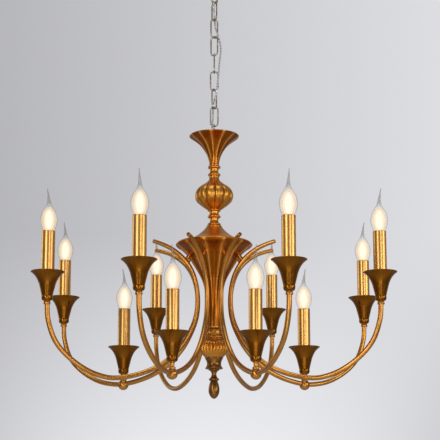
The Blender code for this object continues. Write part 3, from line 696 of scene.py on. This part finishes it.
def build_lamp(n, spot):
    """Glass, the glow inside it, two filament loops on a stem, and the screw base."""
    body = f"lamp_{n}"
    bm = lathe_into(bmesh.new(), [tuple(p) for p in smooth(BULB, 4)], 48)
    for v in bm.verts:
        tip_lean(v.co)
    glass = finished(f"bulb_glass_{n}", bm, GLASS, spot)
    settle(glass, body, "clear_glass", f"bulb_{n}")
    bm = bmesh.new()
    for index, (wide, low, high) in enumerate(GLOW_SHELLS):
        turns = [math.pi * k / 24 for k in range(25)]
        outline = [(wide * math.sin(t), low + (high - low) * (1 - math.cos(t)) / 2) for t in turns]
        outline[0], outline[-1] = (0.0, low), (0.0, high)
        lathe_into(bm, outline, 32)
        bm.faces.ensure_lookup_table()
        for face in bm.faces:
            if not face.tag:
                face.material_index = index
                face.tag = True
    for v in bm.verts:
        tip_lean(v.co)
    settle(finished(f"bulb_glow_{n}", bm, [HALO, WARM, CORE], spot), body, "warm_filament")
    stem = [(0, -12), (6.4, -12), (5.6, -9), (2.6, -3), (1.6, 4), (1.4, 12), (0.9, 15), (0, 16)]
    bm = lathe_into(bmesh.new(), [tuple(p) for p in smooth_run(stem[1:-1], 4)] + [(0, 16)], 20)
    settle(finished(f"bulb_stem_{n}", bm, GLASS, spot), body, "clear_glass")
    bm = bmesh.new()
    for side in (0, 90):
        turn = Matrix.Rotation(math.radians(side), 3, "Z")
        loop = [(-1.2, 0, 10), (-3.4, 0, 16), (-3.9, 0, 26), (-2.0, 0, 35), (0, 0, 37), (2.0, 0, 35), (3.9, 0, 26),
                (3.4, 0, 16), (1.2, 0, 10)]
        path = [turn @ p for p in smooth_run(loop, 4)]
        sweep_into(bm, path, [FILAMENT_R] * len(path), 6)
    settle(finished(f"bulb_filament_{n}", bm, CORE, spot), body, "warm_filament")
    thread = [(0, -47), (3.0, -46.8), (3.4, -45), (6.2, -44)]
    z = -43.0
    while z < -18.0:
        thread += [(6.95, z), (6.4, z + 1.4)]
        z += 2.8
    thread += [(6.9, -17), (6.9, -14.6), (8.4, -12.6), (8.6, -10.6), (7.4, -9.4), (0, -9.4)]
    bm = lathe_into(bmesh.new(), thread, 40)
    settle(finished(f"bulb_base_{n}", bm, LAMP_METAL, spot), body, "pewter_steel")


# ---------------------------------------------------------------- chain, loops and canopy
def ring_path(radius, middle, count=40):
    turns = [math.tau * k / count for k in range(count)]
    return [Vector((radius * math.sin(t), 0, middle + radius * math.cos(t))) for t in turns]


def build_chain():
    bend, straight = (LINK_WIDTH - 2 * WIRE_R) / 2, (LINK_LENGTH - LINK_WIDTH) / 2
    path = []
    for k in range(14):
        turn = math.pi * k / 13
        path.append(Vector((bend * math.cos(turn), 0, straight + bend * math.sin(turn))))
    side = [straight * (1 - 2 * k / 12) for k in range(1, 12)]
    path += [Vector((-bend, 0, z)) for z in side]
    path += [Vector((-p.x, 0, -p.z)) for p in path[:14]]
    path += [Vector((bend, 0, -z)) for z in side]
    for n, yaw in enumerate(LINK_YAWS, 1):
        radii = [WIRE_R - (0.32 if abs(p.z) < 0.4 and p.x > 0 else 0.0) for p in path]
        bm = sweep_into(bmesh.new(), path, radii, 14, closed=True)
        middle = height(link_top(n) - LINK_LENGTH / 2)
        piece = finished(f"link_wire_{n}", bm, PEWTER, Matrix.Translation((0, 0, middle * MM)) @ about_axis(yaw))
        settle(piece, f"link_{n}", "pewter_steel", f"chain_link_{n}")


def hex_nut(bm, across, low, high, hole):
    """A hexagonal nut with chamfered corners."""
    def ripple(angle, radius, _z):
        if radius <= hole + 0.01:
            return radius
        flat = across / 2 / math.cos((angle + math.pi / 6) % (math.pi / 3) - math.pi / 6)
        return min(flat, radius)
    corner = across / 2 / math.cos(math.pi / 6)
    face, chamfer = across / 2 - 0.2, 0.7
    outline = [(hole, low), (face, low), (corner, low + chamfer), (corner, high - chamfer), (face, high), (hole, high)]
    return lathe_into(bm, outline, 72, ripple, closed=True)


def build_loops():
    bar = height(link_top(1) - 3 * WIRE_R - LINK_GAP)
    bm = sweep_into(bmesh.new(), ring_path(LOOP_R, bar + LOOP_R), [WIRE_R + 0.1] * 40, 14, closed=True)
    low = bar + LOOP_R * 2
    shank = [(0, low - 0.4), (2.0, low - 0.4), (2.6, low + 0.4), None, (2.6, -40), (3.4, -38.4), None, (8.2, -38),
             (9, -37.2), (9, -35.2), (8.6, -34.3), None, (5.0, -34.3), (5.0, -8), None, (0, -8)]
    lathe_into(bm, [tuple(p) for p in smooth(shank, 4)], 40)
    piece = finished("ceiling_loop", bm, PEWTER, about_axis(CANOPY_LOOP_YAW))
    settle(piece, "ceiling_mount", "pewter_steel", "canopy_loop")

    bar = LOWEST_LINK_Z + WIRE_R * 3 + LINK_GAP
    bm = sweep_into(bmesh.new(), ring_path(LOOP_R, height(bar) - LOOP_R), [WIRE_R + 0.1] * 40, 14, closed=True)
    foot = TRUMPET_FLOOR_Z + 0.3
    shank = [(0, foot), (2.6, foot), (2.6, foot + 8), (2.6, bar - LOOP_R * 2 - 0.4), (2.0, bar - LOOP_R * 2 + 0.4),
             (0, bar - LOOP_R * 2 + 0.4)]
    lathe_into(bm, [(r, height(z)) for r, z in shank], 32)
    hex_nut(bm, 8.2, height(foot + 0.1), height(foot + 5.3), 2.65)
    piece = finished("column_loop", bm, PEWTER, about_axis(TOP_LOOP_YAW))
    settle(piece, "fixture", "pewter_steel", "top_loop")

    x, y, _ = CORD[0]
    spot = Matrix.Translation(Vector((x, y, height(TRUMPET_FLOOR_Z) + 0.3)) * MM)
    bush = [(CORD_R + 0.1, 0), (3.3, 0), (3.4, 0.5), (3.2, 1.0), None, (2.7, 1.2), (2.4, 1.6), (CORD_R + 0.1, 1.6)]
    bm = lathe_into(bmesh.new(), [tuple(p) for p in smooth(bush, 3)], 32, closed=True)
    settle(finished("cord_gland", bm, HOLDER, spot), "fixture", "pewter_steel", "cord_bushing")


def build_canopy():
    wall = [(r, -z) for r, z in smooth(CANOPY, 5) + smooth(CANOPY_INSIDE, 4)]
    dome = finished("ceiling_canopy", lathe_into(bmesh.new(), wall, 128, closed=True), ANTIQUE)
    settle(dome, "ceiling_mount", "antique_brass", "canopy")
    eyelet = [(CORD_R + 0.25, -35.2), (3.4, -35.2), (3.9, -34.7), (3.7, -34.0), (CORD_R + 0.25, -33.2)]
    spot = Matrix.Translation(Vector((0, CORD[-1][1], 0)) * MM)
    bm = lathe_into(bmesh.new(), eyelet, 32, closed=True)
    settle(finished("canopy_eyelet", bm, HOLDER, spot), "ceiling_mount", "pewter_steel")
    for side, name in ((-1, "left"), (1, "right")):
        screw = [(0, -5.4), (1.6, -5.4), (2.6, -5.0), (4.0, -3.6), (4.1, -2.9), (2.0, -2.7), (2.0, -0.6), (1.2, -0.2),
                 (0, -0.2)]
        bm = lathe_into(bmesh.new(), screw, 32)
        piece = finished(f"bracket_screw_{name}", bm, PEWTER, Matrix.Translation((side * SCREW_SPACING / 2 * MM, 0, 0)))
        settle(piece, "ceiling_mount", "pewter_steel")
    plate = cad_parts["ceiling_bracket"]
    plate.data.materials.clear()
    plate.data.materials.append(PEWTER)


# ---------------------------------------------------------------- studio
FLOOR_Z, FLOOR_R = -2.2, 7.0
WALL_REACH = 0.2  # how far to the side and up the wall's brightness changes, as a share of the view's distance
WALL_FOOT, WALL_FADE = 0.90, 1.45  # brightness at the foot, and its loss on the way up
WALL_SLOPE, WALL_BOW = 0.74, 8.0  # brighter to the right high up, darker at both sides low down
WALL_TINT = (0.975, 0.978, 1.02)
STUDIO_FRONT, STUDIO_BACK = (0.17, 0.16, 0.15, 1), (0.34, 0.34, 0.35, 1)  # what the metal reflects
LIGHT_AIM = (0, 0, -0.62)
LIGHT_STRIPS = (  # name, place, (width, height), watts, colour
    ("key_left", (-1.55, -2.6, -0.4), (0.8, 2.4), 22, (1.0, 0.97, 0.93)),
    ("key_middle", (1.0, -2.9, -0.4), (0.5, 2.4), 15, (1.0, 0.97, 0.93)),
    ("key_right", (2.5, -1.5, -0.4), (0.8, 2.2), 17, (1.0, 0.97, 0.93)),
    ("back_left", (-2.4, 1.2, -0.2), (0.5, 2.0), 5, (1.0, 0.98, 0.96)),
    ("top", (0.0, -0.6, 1.9), (1.8, 1.8), 18, (1.0, 1.0, 1.0)),
    ("low_front", (0.0, -2.6, -1.95), (1.8, 0.5), 5, (1.0, 0.98, 0.95)))


def light_strip(name, spot, size, power, colour):
    data = bpy.data.lights.new(name, "AREA")
    data.shape = "RECTANGLE"
    data.size, data.size_y = size
    data.energy = power
    data.color = colour
    lamp = bpy.data.objects.new(name, data)
    lamp.location = spot
    lamp.rotation_euler = (Vector(LIGHT_AIM) - Vector(spot)).to_track_quat("-Z", "Z").to_euler()
    lamp.visible_camera = False
    bpy.context.scene.collection.objects.link(lamp)


def scalar(tree, operation, a, b, clamp=False):
    node = tree.nodes.new("ShaderNodeMath")
    node.operation, node.use_clamp = operation, clamp
    for socket, value in zip(node.inputs, (a, b)):
        if isinstance(value, bpy.types.NodeSocket):
            tree.links.new(value, socket)
        else:
            socket.default_value = value
    return node.outputs[0]


def limited(tree, value, low, high):
    return scalar(tree, "MINIMUM", scalar(tree, "MAXIMUM", value, low), high)


def build_world():
    """A pale wall that is brightest low down, and a dimmer studio round it for the metal to reflect."""
    world = bpy.data.worlds.new("studio")
    bpy.context.scene.world = world
    world.use_nodes = True
    tree = world.node_tree
    coords = tree.nodes.new("ShaderNodeTexCoord")
    split = tree.nodes.new("ShaderNodeSeparateXYZ")
    tree.links.new(coords.outputs["Generated"], split.inputs[0])
    side = limited(tree, split.outputs["X"], -WALL_REACH, WALL_REACH)
    lift = limited(tree, split.outputs["Z"], 0.0, WALL_REACH)
    up = scalar(tree, "MULTIPLY", lift, 1.0 / WALL_REACH, clamp=True)
    wall = scalar(tree, "SUBTRACT", WALL_FOOT, scalar(tree, "MULTIPLY", lift, WALL_FADE))
    slope = scalar(tree, "MULTIPLY", scalar(tree, "MULTIPLY", side, WALL_SLOPE), up)
    bow = scalar(tree, "MULTIPLY", scalar(tree, "MULTIPLY", side, side), scalar(tree, "SUBTRACT", 1.0, up))
    wall = scalar(tree, "SUBTRACT", scalar(tree, "ADD", wall, slope), scalar(tree, "MULTIPLY", bow, WALL_BOW))
    tint = tree.nodes.new("ShaderNodeCombineXYZ")
    for socket, share in zip(tint.inputs, WALL_TINT):
        tree.links.new(scalar(tree, "MULTIPLY", wall, share), socket)

    depth = tree.nodes.new("ShaderNodeMapRange")
    depth.inputs["From Min"].default_value, depth.inputs["From Max"].default_value = -0.2, 0.8
    tree.links.new(split.outputs["Y"], depth.inputs["Value"])
    studio = tree.nodes.new("ShaderNodeValToRGB")
    for element, colour in zip(studio.color_ramp.elements, (STUDIO_FRONT, STUDIO_BACK)):
        element.color = colour
    tree.links.new(depth.outputs[0], studio.inputs[0])

    seen = tree.nodes.new("ShaderNodeLightPath")
    choice = tree.nodes.new("ShaderNodeMix")
    choice.data_type = "RGBA"
    tree.links.new(seen.outputs["Is Camera Ray"], choice.inputs[0])
    tree.links.new(studio.outputs[0], choice.inputs[6])
    tree.links.new(tint.outputs[0], choice.inputs[7])
    tree.links.new(choice.outputs[2], tree.nodes["Background"].inputs["Color"])


def build_studio():
    bpy.context.scene.view_settings.view_transform = "Standard"
    build_world()
    bm = bmesh.new()
    lathe_into(bm, [(share * FLOOR_R, 0.0) for share in (1.0, 0.6, 0.3, 0.0)], 48)
    mesh = bpy.data.meshes.new("floor")
    bm.to_mesh(mesh)
    bm.free()
    mesh.materials.append(floor_paint())
    floor = bpy.data.objects.new("floor", mesh)
    floor.location.z = FLOOR_Z
    bpy.context.scene.collection.objects.link(floor)

    for strip in LIGHT_STRIPS:
        light_strip(*strip)


make_camera()
build_cord()
build_column()
build_arms()
build_inner_branches()
build_candles()
build_chain()
build_loops()
build_canopy()
build_studio()
